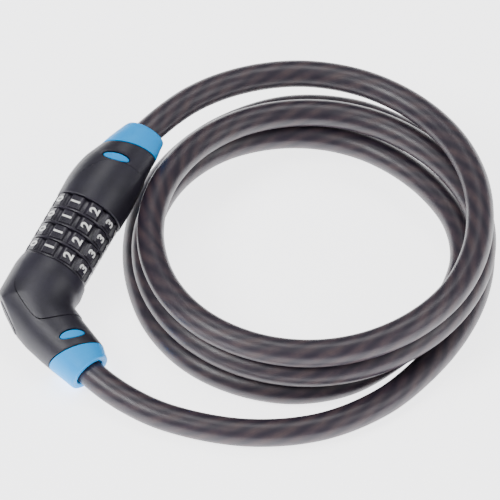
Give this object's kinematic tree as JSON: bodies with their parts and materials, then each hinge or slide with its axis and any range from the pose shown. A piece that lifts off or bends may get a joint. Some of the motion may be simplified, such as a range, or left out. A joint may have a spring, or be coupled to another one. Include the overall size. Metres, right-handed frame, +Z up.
{
  "type": "cable lock",
  "caption": "Coiled cable lock: a thick sheathed steel cable closed by an angled lock body with number dials and a pull-out plug.",
  "frame": {"origin": "on the surface it lies on, under the middle of the lock body's box", "axes": "+Z up, +Y the way the plug points away from the elbow, +X from the lock body towards the coil"},
  "size_m": [0.2169, 0.2009, 0.0506],
  "materials": {
    "black_nylon": "fine moulded texture, satin",
    "blue_plastic": "smooth moulded, satin gloss",
    "dial_plastic": "moulded, white filled numerals",
    "cable_sheath": "extruded smoky sheath over twisted strands",
    "zinc": "die cast",
    "steel": "turned and hardened",
    "brass": "turned"
  },
  "bodies": {
    "root": {"elbow_shell": "black_nylon", "elbow_cover": "black_nylon", "lower_collar": "blue_plastic", "lower_window_insert": "blue_plastic", "lower_ferrule": "zinc", "lower_ferrule_pin": "steel", "lower_rope_end": "steel", "core_tube": "steel", "core_pin": "steel", "retaining_ring": "steel", "detent_spring_1": "steel", "detent_spring_2": "steel", "detent_spring_3": "steel", "detent_spring_4": "steel", "cable_coil": "cable_sheath"},
    "plug": {"plug_shell": "black_nylon", "plug_cover": "black_nylon", "plug_collar": "blue_plastic", "plug_window_insert": "blue_plastic", "plug_pin": "steel", "plug_ferrule": "zinc", "plug_ferrule_pin": "steel", "plug_rope_end": "steel", "cable_lead": "cable_sheath"},
    "dial_1": {"dial_1": "dial_plastic", "code_ring_1": "brass"},
    "dial_2": {"dial_2": "dial_plastic", "code_ring_2": "brass"},
    "dial_3": {"dial_3": "dial_plastic", "code_ring_3": "brass"},
    "dial_4": {"dial_4": "dial_plastic", "code_ring_4": "brass"}
  },
  "joints": [
    {"name": "plug_slide", "type": "slide", "parent": "root", "child": "plug", "axis": [0.4594, 0.8497, 0.2588], "range_m": [0, 0.042], "deforming": ["cable_lead"]},
    {"name": "dial_1_turn", "type": "hinge", "parent": "root", "child": "dial_1", "pos_m": [-0.00981, -0.00446, 0.02333], "axis": [0.4594, 0.8497, 0.2588], "continuous": true},
    {"name": "dial_2_turn", "type": "hinge", "parent": "root", "child": "dial_2", "pos_m": [-0.00614, 0.00234, 0.0254], "axis": [0.4594, 0.8497, 0.2588], "continuous": true},
    {"name": "dial_3_turn", "type": "hinge", "parent": "root", "child": "dial_3", "pos_m": [-0.00246, 0.00914, 0.02747], "axis": [0.4594, 0.8497, 0.2588], "continuous": true},
    {"name": "dial_4_turn", "type": "hinge", "parent": "root", "child": "dial_4", "pos_m": [0.00121, 0.01593, 0.02954], "axis": [0.4594, 0.8497, 0.2588], "continuous": true}
  ]
}
